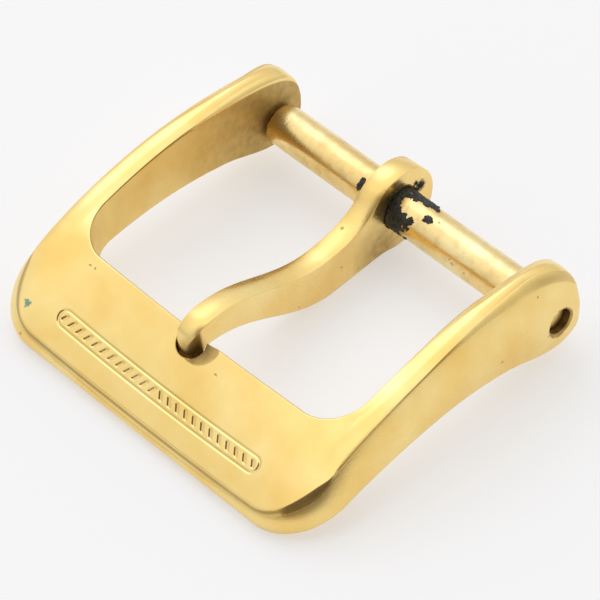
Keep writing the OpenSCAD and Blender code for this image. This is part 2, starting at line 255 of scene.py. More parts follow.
def edge(t, corner_w, front, radius, bow, lug_w):
    """Point of an edge: half widths at the corner and the lug, place, radius and bow of the front."""
    if t <= 1:
        return Vector(((corner_w - radius) * t, -front + bow * t * t))
    if t <= 2:
        turn = pi / 2 * (t - 1)
        return Vector((corner_w - radius + radius * sin(turn), -front + bow + radius - radius * cos(turn)))
    if t <= 3:
        tapered = arm_taper * ease((t - 2) ** arm_lag)
        return Vector((mix(corner_w, lug_w, tapered), mix(-front + bow + radius, -crest_y, t - 2)))
    tapered = mix(arm_taper, 1, ease(lug_lead * (t - 3)))
    return Vector((mix(corner_w, lug_w, tapered), -crest_y + lug_long * sin(lug_turn * (t - 3))))


def tuck(p):
    """Outer edges tuck in round the lug's end."""
    u = clamp01((p[1] - lug_r) / lug_round + 1)
    return Vector((p[0] - lug_round * (1 - sqrt(1 - tuck_far * u * u)), p[1]))


def four_edges(t):
    inner_top = edge(t, half_w + arm_flare, front_in, inner_r, front_bow, half_w)
    outer_top = edge(t, corner_top_w, front_out, outer_top_r, 0, lug_top_w)
    outer_top.x += lug_fill * ease((outer_top.y + lug_r) / (2 * lug_r))
    outer_low = edge(t, corner_low_w, front_out, outer_low_r, 0, lug_low_w)
    inner_low = edge(t, half_w, front_in, inner_r, front_bow, half_w)
    return inner_top, tuck(outer_top), tuck(outer_low), inner_low


# %% [markdown]
# The front bar carries a band of engraved ornament: two fine lines with slanted strokes between them, a
# plain rope border. It is cut into the mesh, because a groove that only exists in a bump map goes flat
# when the light comes from the side. The depth is a function of the place on the ramp, and the mesh is
# finest there.

# %% Engraved band
band_at, band_half, band_long = 0.69, 0.4, 6.3
line_w, line_deep = 0.09, 0.055
stroke_pitch, stroke_w, stroke_deep, stroke_slant = 0.52, 0.14, 0.07, 0.6
ramp_long = Vector((front_out - front_in, front_high_z - front_low_z)).length
print("ramp", round(ramp_long, 2), "mm long, strokes", round(2 * band_long / stroke_pitch))


def groove(distance, width):
    """Share of a groove's depth at a distance from its middle line."""
    return ease(1 - abs(distance) / width) if abs(distance) < width else 0.0


def engraved(x, across):
    """Depth of the engraving at a point x along the front bar and across from the band's middle line."""
    past = max(0.0, abs(x) - (band_long - band_half))
    from_middle = sqrt(across * across + past * past)
    if from_middle > band_half + line_w or band_long < abs(x) - line_w:
        return 0.0
    border = line_deep * groove(from_middle - band_half, line_w)
    if from_middle > band_half - 2 * line_w:
        return border
    lean = x - stroke_slant * across * (1 if x > 0 else -1)
    stroke = (lean / stroke_pitch - floor(lean / stroke_pitch) - 0.5) * stroke_pitch
    fade = ease((band_half - 2 * line_w - abs(across)) / line_w + 0.2)
    return max(border, stroke_deep * fade * groove(stroke, stroke_w))


# %% [markdown]
# A section is a closed ring of points: up the inner wall, over the top, down the outer wall and back
# underneath, with each corner rounded by a conic. All rings have as many points, so that one flat grid can
# be bent into the whole half frame. A bevel afterwards would be less work, but here the width changes
# along the edge, from a crisp rim on the front bar to a soft one round the lug.
# Each point also stores how far its face was polished: the top was buffed bright, the sides were only
# brushed, and the inner wall kept the skin of the casting. More than 1 is an edge painted brown: partly
# wear rubbed through to the brown brass, partly a painted dark reflection along the edge.

# %% Rows of a section
wall_steps, round_steps, facet_steps, outer_steps, under_steps = 6, 4, 10, 18, 6
before_band, in_band, after_band = 24, 30, 10
band_reach = (band_half + 2 * line_w) / ramp_long
band_start, band_end = band_at - band_reach, band_at + band_reach
top_places = ([mix(0, band_start, i / before_band) for i in range(before_band)]
              + [mix(band_start, band_end, i / in_band) for i in range(in_band + 1)]
              + [mix(band_end, 1, i / after_band) for i in range(1, after_band + 1)])
# How far a face was polished; 2 is an edge painted brown, for wear and for a painted dark reflection
RUBBED_AND_PAINTED_DARK, POLISHED, HANDLED, SMOOTHED, BRUSHED, MATT, DULL, CAST = 2.0, 1.0, 0.8, 0.6, 0.5, 0.3, 0.2, 0.0
print("rows over the top", len(top_places), "of which", in_band, "in the band")

# %% Sections of the frame
sharp_edge, soft_edge, lug_edge, low_edge = 0.12, 0.32, 0.45, 0.14
lug_from, lug_over = 2.5, 0.9
facet_from, facet_at, facet_to, facet_w, facet_drop = 1.2, 1.75, 2.12, 0.34, 0.12
bend_from, wall_bend = 2.2, 1.6  # the outer wall swells from the arm to the lug
dark_edge_until = 0.625  # of the way to the lug
round_weight, facet_weight = 0.7, 0.4  # of a conic's corner: less makes the round a flatter facet


def at_height(p, z):
    return Vector((p[0], p[1], z))


def rounded(start, corner, end, steps, weight):
    """Points of a conic that leaves start and reaches end along the lines from the corner."""
    ring = []
    for i in range(1, steps):
        u = i / steps
        shares = ((1 - u) ** 2, 2 * weight * u * (1 - u), u * u)
        ring.append((start * shares[0] + corner * shares[1] + end * shares[2]) / sum(shares))
    return ring


def toward(a, b, far):
    return a + (b - a).normalized() * far


def section(t):
    """Ring of (point, polish) pairs for one station."""
    a, b, c, d = four_edges(t)
    lug = ease((t - lug_from) / lug_over)
    facet = ease((t - facet_from) / (facet_at - facet_from)) * ease((facet_to - t) / (facet_to - facet_at))
    inner_edge, outer_edge = mix(sharp_edge, soft_edge, lug), mix(sharp_edge, lug_edge, lug)
    a_in, b_in = toward(a, b, inner_edge), toward(b, a, outer_edge + facet_w * facet)
    c_in, d_in = toward(c, d, low_edge), toward(d, c, low_edge)
    tall = top_z(b) - low_z(c)
    soft_a, soft_low = min(inner_edge, tall / 4), min(low_edge, tall / 4)
    soft_b = min(outer_edge + facet_drop * facet, tall / 4)
    bend = 1 + wall_bend * ease(t - bend_from)
    out = (b - a).normalized() * side_bulge
    # The middle of each round is painted brown up to the lug: wear, and a painted dark reflection along the
    # edge
    rubbed_and_painted_dark = mix(RUBBED_AND_PAINTED_DARK, 0, ease(lug / dark_edge_until))
    ring = []

    def put(p, z, polish):
        ring.append((at_height(p, z), polish))

    def put_round(wall, face, soft, steps, polish, rising, weight=round_weight, lean=Vector((0, 0))):
        """Between a wall and the face above or below it. A wall that leans moves the corner with it."""
        level = top_z if soft > 0 else low_z
        points = rounded(at_height(wall, level(wall) - soft), at_height(wall - lean, level(wall)),
                         at_height(face, level(face)), steps, weight)
        for i, point in enumerate(points if rising else points[::-1]):
            ring.append((point, mix(polish, max(polish, rubbed_and_painted_dark), 1 - abs(2 * (i + 1) / steps - 1))))

    for i in range(wall_steps + 1):
        v = i / wall_steps
        put(mix(d, a, v), mix(low_z(d) + soft_low, top_z(a) - soft_a, v), mix(CAST, DULL / 2, v ** 6))
    put_round(a, a_in, soft_a, round_steps, HANDLED, True)
    for u in top_places:
        p = mix(a_in, b_in, u)
        z = top_z(p) + crown * 4 * u * (1 - u)
        if t <= 1:
            z -= engraved(p.x, (u - band_at) * ramp_long)
        put(p, z, mix(POLISHED, SMOOTHED, lug * u))
    lean = ((c - b) * bend + out * 4 / bend) * soft_b / (tall - soft_b - soft_low)
    put_round(b, b_in, soft_b, facet_steps, mix(POLISHED, DULL, lug), False,
              mix(round_weight, facet_weight, facet), lean)
    for i in range(outer_steps + 1):
        v = i / outer_steps
        p = mix(b, c, 1 - (1 - v) ** bend) + out * 4 * v * (1 - v) / bend
        z = mix(top_z(b) - soft_b, low_z(c) + soft_low, v)
        put(p, z, mix(BRUSHED, MATT, lug * (1 - v) ** 3))
    put_round(c, c_in, -soft_low, round_steps, BRUSHED, True)
    for i in range(under_steps + 1):
        p = mix(c_in, d_in, i / under_steps)
        put(p, low_z(p), MATT)
    put_round(d, d_in, -soft_low, round_steps, DULL, False)
    return ring


# %% [markdown]
# One flat grid becomes half of the frame: its columns are stations along the path and its rows run round a
# section. The stations stand closest along the front bar, where the engraving needs them, and furthest
# apart in the arms. Half is enough, because the arms of the casting mirror each other.

# %% Bend a grid into the frame
front_gap, corner_gap, arm_gap, lug_gap = 0.045, 0.1, 0.17, 0.09


def stations(start, end, gap, long):
    """Even steps from start to just before end, about gap apart along a stretch of that length."""
    count = max(2, round(long / gap))
    return [mix(start, end, i / count) for i in range(count)]


places = (stations(0, 1, front_gap, corner_top_w - outer_top_r)
          + stations(1, 2, corner_gap, outer_top_r * pi / 2)
          + stations(2, 3, arm_gap, front_in - inner_r - crest_y)
          + stations(3, 4, lug_gap, lug_long + 2) + [4.0])
rings = [section(t) for t in places]
ring_size = len(rings[0])


def spot(point):
    """A point's place, rounded so that it can be looked up."""
    return tuple(round(x, 4) for x in point)


def frame_half():
    shape = bent_grid(len(places) - 1, ring_size, lambda i, j: rings[i][j % ring_size][0])
    polish = shape.verts.layers.float.new("polish")
    polished = {spot(point): value for ring in rings for point, value in ring}
    for point in shape.verts:
        point[polish] = polished.get(spot(point.co), BRUSHED)
    bmesh.ops.remove_doubles(shape, verts=shape.verts, dist=weld)
    # The rim at the lug's end is closed; the one at x = 0 stays open for the mirror
    end_rim = [e for e in shape.edges if e.is_boundary and all(v.co.x > 0.01 for v in e.verts)]
    bmesh.ops.holes_fill(shape, edges=end_rim, sides=0)
    return shape


casting = frame_half()
whole_half = casting.verts[:] + casting.edges[:] + casting.faces[:]
bmesh.ops.mirror(casting, geom=whole_half, axis="X", merge_dist=0.001)
open_edges = sum(e.is_boundary for e in casting.edges)
print("sections", len(places), "of", ring_size, "points; open edges left", open_edges)
cast_frame = finish_piece(casting, "cast_frame", "frame", "frame")

# %% [markdown]
# The lugs are drilled and lightly countersunk. A small ball cutter has scooped the pocket for the tongue's
# nose, and a large one the shallow dish round it. These cuts are booleans, because a drill doesn't follow
# the sections: each cutter is a solid that is taken away from the mesh and then thrown away.

# %% Drill the lugs and cut the notch
def cutter(shape):
    bmesh.ops.scale(shape, vec=(MM, MM, MM), verts=shape.verts)
    bmesh.ops.recalc_face_normals(shape, faces=shape.faces)
    mesh = bpy.data.meshes.new("cutter")
    shape.to_mesh(mesh)
    shape.free()
    tool = bpy.data.objects.new("cutter", mesh)
    bpy.context.scene.collection.objects.link(tool)
    return tool


def cut_away(piece, tool, sharp=40):
    change = piece.modifiers.new("cut", "BOOLEAN")
    change.operation, change.solver, change.object = "DIFFERENCE", "EXACT", tool
    bpy.context.view_layer.update()
    cut = bpy.data.meshes.new_from_object(piece.evaluated_get(bpy.context.evaluated_depsgraph_get()))
    piece.modifiers.remove(change)
    old, piece.data = piece.data, cut
    bpy.data.meshes.remove(old)
    bpy.data.objects.remove(tool)
    soften(piece, sharp)


def drill(side):
    """Outline of the drill from inside the lug to past its outer face, spun about the bar's axis."""
    shape = bmesh.new()
    sink_from, sink_w = lug_low_w - 0.06, 0.22
    start, end = half_w - 1, lug_low_w + 1
    outline = [(start, 0), (start, hole_r), (sink_from, hole_r),
               (sink_from + sink_w, hole_r + sink_w), (end, hole_r + sink_w), (end, 0)]
    points = [shape.verts.new((side * x, 0, r)) for x, r in outline]
    lines = [shape.edges.new(pair) for pair in zip(points, points[1:])]
    bmesh.ops.spin(shape, geom=points + lines, cent=(0, 0, 0), axis=(1, 0, 0), angle=2 * pi, steps=64,
                   use_merge=True)
    bmesh.ops.remove_doubles(shape, verts=shape.verts, dist=weld)
    return cutter(shape)


def ball(place, radius):
    shape = bmesh.new()
    bmesh.ops.create_uvsphere(shape, u_segments=96, v_segments=64, radius=radius,
                              matrix=Matrix.Translation(place))
    return cutter(shape)


ramp_normal = Vector((0, -front_slope, 1)).normalized()
dish_foot = Vector((dish_x, -front_in - dish_in, front_high_z - front_slope * dish_in))
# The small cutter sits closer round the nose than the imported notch, which leaves it more play
pocket_r, pocket_x, pocket_in = notch_r - 0.1, notch_x + 0.1, notch_in + 0.04
dish_middle = dish_foot + ramp_normal * (dish_r - dish_deep)
notch_tools = [ball((pocket_x, -front_in - pocket_in, notch_z), pocket_r), ball(dish_middle, dish_r)]
for tool in [drill(-1), drill(1)] + notch_tools:
    cut_away(cast_frame, tool)
print("frame after the cuts", len(cast_frame.data.polygons), "faces")

# %% [markdown]
# The tongue is stamped from plate, so it is a flat outline with rounded rims: an eye round the bar, a
# blade that dips, rises over a hump and turns down, and a nose ground to a point. One face with many
# corners could be its side, but such a face shades unevenly once its rims are bevelled. So the side is two
# grids, one bent round the eye and one along the blade, and both are extruded to the plate's thickness.
# These functions say where the blade's upper and lower lines run, at a distance s from the bar.

# %% Outline of the tongue
eye_drop = -foot_z - eye_r
hump_at = front_in - hump_back
nose_drop, nose_chamfer, root_at, flare_bend = 0.12, 0.1, 1.2, 2.5
nose_end_z = notch_z - notch_r + nose_gap
nose_z = nose_end_z + nose_drop
nose_bend = hump_z - nose_z
nose_out = hump_at + nose_bend + nose_t / 2
join_at, join_soft, join_from, join_over = 1.75, 0.15, 0.4, 1.2
print("nose", round(nose_out, 2), "mm from the bar, its end at a height of", round(nose_end_z, 2))


def blade_mid(s):
    return mix(belly_z, hump_z, ease((s - belly_at) / (hump_at - belly_at)))


def blade_t(s):
    return mix(root_t, hump_t, clamp01((s - belly_at) / (hump_at - belly_at)))


def eye_half(s):
    return sqrt(max(0.0, eye_r ** 2 - s * s))


def blend_max(a, b, soft):
    """The larger of two heights, with the corner between them rounded."""
    return (a + b + sqrt((a - b) ** 2 + soft * soft)) / 2


def top_line(s):
    flare = root_flare * clamp01((belly_at - s) / (belly_at - root_at)) ** flare_bend
    blade = blade_mid(s) + blade_t(s) / 2 + flare
    soft = join_soft * ease((s - join_from) / join_over) if s < join_at else join_soft
    return blend_max(blade, -eye_drop + eye_half(s), soft) if s < eye_r else blade


def low_line(s):
    blade = blade_mid(s) - blade_t(s) / 2
    if s >= eye_r:
        return blade
    return -blend_max(-blade, eye_drop + eye_half(s), join_soft * ease(s / join_over))


def blade_point(s, v):
    return Vector((0, -s, mix(low_line(s), top_line(s), v)))


def nose_point(turn, v):
    t = mix(hump_t, nose_t, turn / (pi / 2))
    r = nose_bend + (v - 0.5) * t
    return Vector((0, -hump_at - r * sin(turn), nose_z + r * cos(turn)))


# %% Grids of the tongue
across_steps, blade_steps, nose_steps, back_steps, radial_steps = 12, 60, 24, 64, 6
eye_ahead, ahead_steps = 0.3, 14
under_turn, nose_lift, nose_belly = radians(32), 0.04, 0.15
blade_rows = [mix(join_at, hump_at, i / blade_steps) for i in range(blade_steps)]
nose_rows = [pi / 2 * i / nose_steps for i in range(nose_steps + 1)]


def nose_row(i, v):
    """Rows of the nose fan out from the inner bend and the nose's flat underside to its outer bend."""
    outer = nose_point(nose_rows[i], 1)
    if nose_rows[i] <= under_turn:
        return mix(nose_point(nose_rows[i], 0), outer, v)
    share = (nose_rows[i] - under_turn) / (pi / 2 - under_turn)
    tip = Vector((0, -nose_out + nose_chamfer, nose_end_z + nose_lift))
    inner = mix(nose_point(under_turn, 0), tip, share)
    belly = nose_belly * (27 / 4) * share * (1 - share) ** 2  # 27 / 4 makes its deepest point nose_belly
    return mix(inner - Vector((0, 0, belly)), outer, v)


def plate_point(i, j):
    v = j / across_steps
    return blade_point(blade_rows[i], v) if i < blade_steps else nose_row(i - blade_steps, v)


def eye_outline():
    """Outer points of the eye, from the blade's lower corner round the back to its upper corner."""
    steps = [i / ahead_steps for i in range(ahead_steps + 1)]
    low = [(s, low_line(s)) for s in (mix(join_at, eye_ahead, u) for u in steps[:-1])]
    start = atan2(low_line(eye_ahead) + eye_drop, eye_ahead)
    end = atan2(top_line(eye_ahead) + eye_drop, eye_ahead) - 2 * pi
    turns = back_steps - 2 * ahead_steps
    angles = [mix(start, end, i / turns) for i in range(turns + 1)]
    round_back = [(eye_r * cos(a), -eye_drop + eye_r * sin(a)) for a in angles]
    top = [(s, top_line(s)) for s in (mix(eye_ahead, join_at, u) for u in steps[1:])]
    return low + round_back + top


blade_root = [(join_at, mix(low_line(join_at), top_line(join_at), j / across_steps))
              for j in range(across_steps + 1)]
eye_loop = eye_outline()[:-1] + blade_root[::-1][:-1]


def eye_point(i, j):
    s, z = eye_loop[i % len(eye_loop)]
    outer = Vector((0, -s, z))
    return mix(outer.normalized() * eye_bore_r, outer, j / radial_steps)


# %% Stamp the tongue
seam = 0.002  # the two grids meet within this
plate = bent_grid(blade_steps + nose_steps, across_steps, plate_point)
eye_ring = bent_grid(len(eye_loop), radial_steps, eye_point)
eye_mesh = bpy.data.meshes.new("eye_ring")
eye_ring.to_mesh(eye_mesh)
eye_ring.free()
plate.from_mesh(eye_mesh)
bpy.data.meshes.remove(eye_mesh)
bmesh.ops.remove_doubles(plate, verts=plate.verts, dist=seam)
bmesh.ops.recalc_face_normals(plate, faces=plate.faces)
bmesh.ops.translate(plate, vec=(-tongue_w / 2, 0, 0), verts=plate.verts)
grown = bmesh.ops.extrude_face_region(plate, geom=plate.faces[:])
far_side = [g for g in grown["geom"] if isinstance(g, bmesh.types.BMVert)]
bmesh.ops.translate(plate, vec=(tongue_w, 0, 0), verts=far_side)
bmesh.ops.recalc_face_normals(plate, faces=plate.faces)
print("tongue blank", len(plate.verts), "points; open edges", sum(e.is_boundary for e in plate.edges),
      "doubled", sum(len(e.link_faces) > 2 for e in plate.edges))

# %% [markdown]
# The rims are bevelled. A profile of 0.5 would be a round; the real rims are nearly flat facets, so it is
# less. Then the nose is ground: seen from above it narrows to a rounded point, by a long cut on its right
# and a short one on its left. A boolean could cut it, but would cut the bevel off too. Instead each point
# is moved inwards: points in the bevel keep their distance to the side, and the rest is squeezed.

# %% Round the rims and grind the nose
rim_r, rim_profile, rim_angle = 0.13, 0.35, radians(50)
tip_w, cut_from, long_power, short_power = 0.08, 0.4, 2.6, 3
most_bevel = 0.8  # of the half width, where the nose is narrow
rims = [e for e in plate.edges if len(e.link_faces) == 2 and e.calc_face_angle(0) > rim_angle]
bmesh.ops.bevel(plate, geom=rims, offset=rim_r, offset_type="OFFSET", affect="EDGES", segments=2,
                profile=rim_profile, material=-1, clamp_overlap=True)


def half_plate(s, long, power):
    """Half width at s of a plate whose nose is ground over this length."""
    u = clamp01((s - nose_out + nose_cut + long) / long)
    return max(tip_w / 2, tongue_w / 2 * sqrt(1 - u ** power))


polish = plate.verts.layers.float.new("polish")
for point in plate.verts:
    s, x = -point.co.y, point.co.x
    s -= nose_cut * ease((s - nose_out + cut_from) / cut_from)
    wide = half_plate(s, nose_long, long_power) if x > 0 else half_plate(s, nose_short, short_power)
    bevel = min(rim_r, most_bevel * wide)
    point.co.y = -s
    inside = tongue_w / 2 - abs(x)
    mid_bevel = 0.2 < inside / rim_r < 0.8
    # The middle of each bevel is painted brown: wear, and a painted dark reflection of the crease
    point[polish] = RUBBED_AND_PAINTED_DARK if mid_bevel else mix(BRUSHED, POLISHED, clamp01(2 * inside / rim_r))
    if inside < rim_r:
        point.co.x = (wide - bevel * inside / rim_r) * (1 if x > 0 else -1)
    else:
        point.co.x = x * (wide - bevel) / (tongue_w / 2 - rim_r)
tongue_skew = atan2(nose_x - tongue_slid, front_in)
tongue_place = Matrix.Translation((tongue_slid, 0, 0)) @ Matrix.Rotation(tongue_skew, 4, "Z")
bmesh.ops.transform(plate, matrix=tongue_place, verts=plate.verts)
tongue_plate = finish_piece(plate, "tongue_plate", "tongue", "tongue")

# %% [markdown]
# The sprung bar is turned work. Cylinders joined together could make it, but one outline that is spun
# about the bar's axis gives each piece its steps, bevels and rolled rims at once. The tube's ends are
# rolled in over the plungers' heads, and a plunger is a pin, a head in the tube and a tail in the spring.

# %% Spin the bar's pieces
def spun(outline, name, body, node, steps=96):
    """A closed outline of (x, radius) points, spun about the bar."""
    shape = bmesh.new()
    points = [shape.verts.new((x, 0, r)) for x, r in outline]
    pairs = list(zip(points, points[1:]))
    if min(r for x, r in outline) > 0:
        pairs.append((points[-1], points[0]))
    lines = [shape.edges.new(pair) for pair in pairs]
    bmesh.ops.spin(shape, geom=points + lines, cent=(0, 0, 0), axis=(1, 0, 0), angle=2 * pi, steps=steps,
                   use_merge=True)
    return finish_piece(shape, name, body, node)


def arc(x, r, radius, start, end, steps):
    """Points of an arc about (x, r), with its angles in degrees from the bar's direction."""
    turns = [radians(mix(start, end, i / steps)) for i in range(steps + 1)]
    return [(x + radius * cos(a), r + radius * sin(a)) for a in turns]


tube_end = arc(tube_half - tube_rim_r, tube_r - tube_rim_r, tube_rim_r, 90, 0, 8) + [
    (tube_half, lip_r), (tube_half - tube_lip, lip_r), (tube_half - tube_lip, bore_r)]
tube_steps = 40
tube_middle = [(mix(-tube_half, tube_half, i / tube_steps), tube_r) for i in range(2, tube_steps - 1)]
tube_outline = tube_middle + tube_end + [(-x, r) for x, r in tube_end[::-1]]
bar_sleeve = spun(tube_outline, "bar_sleeve", "spring_bar", "bar_tube")

# %% Turn the plungers
pin_rim, pin_proud, tail_bevel, head_bevel = 0.1, 0.1, 0.08, 0.05
crown_mid, crown_top = 0.02, 0.03
tail_in, pin_end, tail_r = head_in - tail_len, pin_out + pin_proud, tail_d / 2
pin_outline = ([(tail_in, 0), (tail_in, tail_r - tail_bevel), (tail_in + tail_bevel, tail_r),
                (head_in, tail_r), (head_in, head_r - head_bevel), (head_in + head_bevel, head_r),
                (head_out - head_bevel, head_r), (head_out, head_r - head_bevel), (head_out, pin_r)]
               + arc(pin_end - pin_rim, pin_r - pin_rim, pin_rim, 90, 0, 6)
               + [(pin_end + crown_mid, pin_r / 2), (pin_end + crown_top, 0)])
pin_right = spun(pin_outline, "pin_right", "plunger_right", "plunger_right", 64)
mirrored = [(-x, r) for x, r in pin_outline]
pin_left = spun(mirrored, "pin_left", "plunger_left", "plunger_left", 64)

# %% [markdown]
# The spring is a round wire, spun and pushed along at the same time. A screw modifier would do as well,
# but the spin is the tool that turned the bar. It is wound in two halves from the middle out, so that each
# plunger presses its own half.

# %% Wind the spring
wire_steps = 24  # a turn
spring_half = head_in - seat_gap


def wound(side, name):
    """Half of the spring, from the middle of the tube to one plunger's head."""
    coil, steps = bmesh.new(), wire_steps * curls // 2
    start = Matrix.Translation((0, -(spring_d - wire_d) / 2, 0))
    along = side * (spring_half - wire_d / 2) / steps
    bmesh.ops.create_circle(coil, segments=10, radius=wire_d / 2, matrix=start)
    bmesh.ops.spin(coil, geom=coil.verts[:] + coil.edges[:], cent=(0, 0, 0), axis=(1, 0, 0),
                   angle=side * pi * curls, steps=steps, dvec=(along, 0, 0))
    bmesh.ops.remove_doubles(coil, verts=coil.verts, dist=weld)
    bmesh.ops.holes_fill(coil, edges=[e for e in coil.edges if e.is_boundary], sides=0)
    piece = finish_piece(coil, name, "spring_bar", "bar_spring")
    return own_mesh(piece)


coil_left = wound(-1, "coil_spring_left")
coil_right = wound(1, "coil_spring_right")

# %% [markdown]
# Sweat and dust have dried to a black crust where the tongue rubs on the tube. It is a piece of its own:
# a thin skin over the tube, kept where a noise is high and thinned towards its ragged rim. Paint alone
# would lie flat in the shine of the tube, while a skin with a thickness breaks that shine.
# A place on the tube is given by x and by degrees up from its front side. The crust is a grid bent round
# the tube; its bare points are deleted, and what is left is extruded inwards to a closed skin.

# %% Where the grime sits
grime_thick, grime_cell, grime_from, grime_to, turn_from, turn_to = 0.055, 0.035, -2.3, 2.5, -50, 160
grime_areas = [(0.4, 15, 0.85, 52), (0.1, 85, 0.35, 75), (0.9, 122, 0.95, 24), (1.25, 42, 0.24, 15),
               (1.97, 71, 0.3, 13), (-1.86, 46, 0.2, 20)]  # middle and half size, in millimetres and degrees
gold_fleck = (0.66, 78, 0.3, 15)
ragged, lumps_a_mm, lump_turn = 0.42, 3.4, 15


def within(x, turn, area):
    """1 in the middle of an oval area, 0 on its rim and less outside."""
    return 1 - sqrt(((x - area[0]) / area[2]) ** 2 + ((turn - area[1]) / area[3]) ** 2)


def grime_cover(x, turn):
    """Over 0 where there is crust, and higher away from its rim."""
    rag = noise.fractal(Vector((lumps_a_mm * x, turn / lump_turn, 3.7)), 0.7, 2.0, 5)
    cover = max(within(x, turn, area) for area in grime_areas)
    return min(cover, -within(x, turn, gold_fleck)) + ragged * rag


# %% Grow the crust
rim_soft, sunk = 0.3, 0.02  # sunk keeps the crust's inside a little under the tube's surface
columns = round((grime_to - grime_from) / grime_cell)
rows = round(radians(turn_to - turn_from) / grime_cell)
skin = bmesh.new()
bmesh.ops.create_grid(skin, x_segments=columns, y_segments=rows, size=0.5)
bare = []
for point in skin.verts:
    x, turn = mix(grime_from, grime_to, point.co.x + 0.5), mix(turn_from, turn_to, point.co.y + 0.5)
    cover = grime_cover(x, turn)
    if cover < 0:
        bare.append(point)
    rough = 0.7 + 0.6 * noise.noise(Vector((9 * x, turn / 6, 0)))
    r = tube_r + grime_thick * rough * clamp01(cover / rim_soft) ** 0.5
    point.co = Vector((x, -r * cos(radians(turn)), r * sin(radians(turn))))
bmesh.ops.delete(skin, geom=bare, context="VERTS")
bmesh.ops.delete(skin, geom=[e for e in skin.edges if e.is_wire], context="EDGES")
while pinched := [v for v in skin.verts if not v.link_faces or sum(e.is_boundary for e in v.link_edges) > 2]:
    bmesh.ops.delete(skin, geom=pinched, context="VERTS")
grown = bmesh.ops.extrude_face_region(skin, geom=skin.faces[:])
for point in (g for g in grown["geom"] if isinstance(g, bmesh.types.BMVert)):
    inward = (tube_r - sunk) / sqrt(point.co.y ** 2 + point.co.z ** 2)
    point.co = Vector((point.co.x, point.co.y * inward, point.co.z * inward))
dried_grime = finish_piece(skin, "dried_grime", "spring_bar", sharp=80)

# %% [markdown]
# Materials are node trees, and one small function adds a node. Its plain values go into the node's first
# inputs in their order, inputs further down are named, and a value that is another node's output becomes
# a link. Patterns read Object coordinates, which are metres here, so a pattern's scale is one over its
# size. A noise stays mostly between 0.3 and 0.7, so a Map Range from there spreads it over its whole reach.

# %% Material tools
def hex_linear(code):
    """An sRGB hex colour as linear red, green, blue and alpha."""
    parts = [int(code[i:i + 2], 16) / 255 for i in (1, 3, 5)]
    return tuple(c / 12.92 if c <= 0.04045 else ((c + 0.055) / 1.055) ** 2.4 for c in parts) + (1.0,)


def add(tree, kind, *values, at=None, out=0, **settings):
    """Adds a node with its settings, fills or links its inputs and gives one of its outputs."""
    made = tree.nodes.new("ShaderNode" + kind)
    for name, value in settings.items():
        setattr(made, name, value)
    for key, value in [*enumerate(values), *(at or {}).items()]:
        if isinstance(value, bpy.types.NodeSocket):
            tree.links.new(value, made.inputs[key])
        else:
            made.inputs[key].default_value = value
    return made.outputs[out]


def new_material(name):
    material = bpy.data.materials.new(name)
    material.use_nodes = True
    tree = material.node_tree
    return material, partial(add, tree), tree.nodes["Principled BSDF"], tree.links.new


# %% Patterns
def lumps(node, size_mm, long=(1, 1, 1), detail=3.0):
    """Noise with lumps of this size, drawn out by a factor along x, y and z."""
    place = node("Mapping", node("TexCoord", out="Object"), at={"Scale": tuple(1 / k for k in long)})
    return node("TexNoise", place, at={"Scale": 1 / (size_mm * MM), "Detail": detail})


def specks(node, apart_mm, size_mm, share):
    """Round specks, one in a share of the cells of a loose grid."""
    cell = {"at": {"Vector": node("TexCoord", out="Object"), "Scale": 1 / (apart_mm * MM)}}
    chance = node("SeparateColor", node("TexVoronoi", out="Color", **cell))
    chosen = node("Math", chance, share, operation="LESS_THAN")
    from_speck = node("TexVoronoi", out="Distance", **cell)
    speck = node("MapRange", from_speck, size_mm / apart_mm, 0.4 * size_mm / apart_mm)
    return node("Math", speck, chosen, operation="MULTIPLY")


def away_from(node, place):
    """Distance of a point on the piece from a place given in millimetres."""
    here = node("TexCoord", out="Object")
    return node("VectorMath", here, Vector(place) * MM, operation="DISTANCE", out="Value")


def spots(node, places, ragged_mm, lump_mm=0.15):
    """Ragged spots at places given as (x, y, z, radius) in millimetres."""
    swing = ragged_mm * MM
    rag = node("Math", lumps(node, lump_mm), 4 * swing, -2 * swing, operation="MULTIPLY_ADD")
    total = 0.0
    for *place, r in places:
        near = node("MapRange", node("Math", away_from(node, place), rag), r * MM, 0.5 * r * MM)
        total = node("Math", total, near, operation="MAXIMUM")
    return total


# %% [markdown]
# All of the buckle is brass under a worn plating of gold, so one function draws it and each piece says how
# it was made. Where it was buffed, the plating gives the eye a soft yellow mirror with hair-fine scratches;
# where it was brushed, a satin sheen with fine lines along the arm; where the skin of the casting was left,
# a dull grain. Sweat has browned it in the corners that no finger reaches and left small pits, and wear has
# browned its sharpest edges. The same brown also paints shade into the corners, the holes and the notch,
# and a dark reflection along the edges. A metal takes nearly all its colour from its base colour, and the
# rest is roughness and bump. Each has its own cell: what stains and shades the plate, its colour and shine,
# and its relief.

# %% What stains and shades the plate
PLATE_PALE, PLATE_WARM, BROWN_STAIN_AND_SHADE = "#fbe198", "#f3cd78", "#6a4926"
VERDIGRIS, BLACKENED = "#86a88f", "#23251f"
smear_mm = 0.4
pit_apart_mm, pit_mm, pit_share, pit_brown = 1.1, 0.05, 0.06, 0.4
dark_edge_from, dark_edge_to, dark_edge_brown = 1.2, 1.9, 0.5


def stained_and_shaded(node, polish, browned_and_shaded, pitted):
    """How brown the plate is: smeared brown from perspiration and from painted shade, the pits, and edges
    worn and painted dark, whichever is most.
    """
    smears = node("MapRange", lumps(node, smear_mm), 0.25, 0.75, 0.6, 1.0)
    sweat_and_shade = node("Math", browned_and_shaded, smears, operation="MULTIPLY")
    in_pits = node("Math", pitted, pit_brown, operation="MULTIPLY")
    # Edges painted brown, for wear and for a painted dark reflection
    on_edges = node("MapRange", polish, dark_edge_from, dark_edge_to, 0.0, dark_edge_brown)
    return node("Math", node("Math", sweat_and_shade, in_pits, operation="MAXIMUM"), on_edges, operation="MAXIMUM")


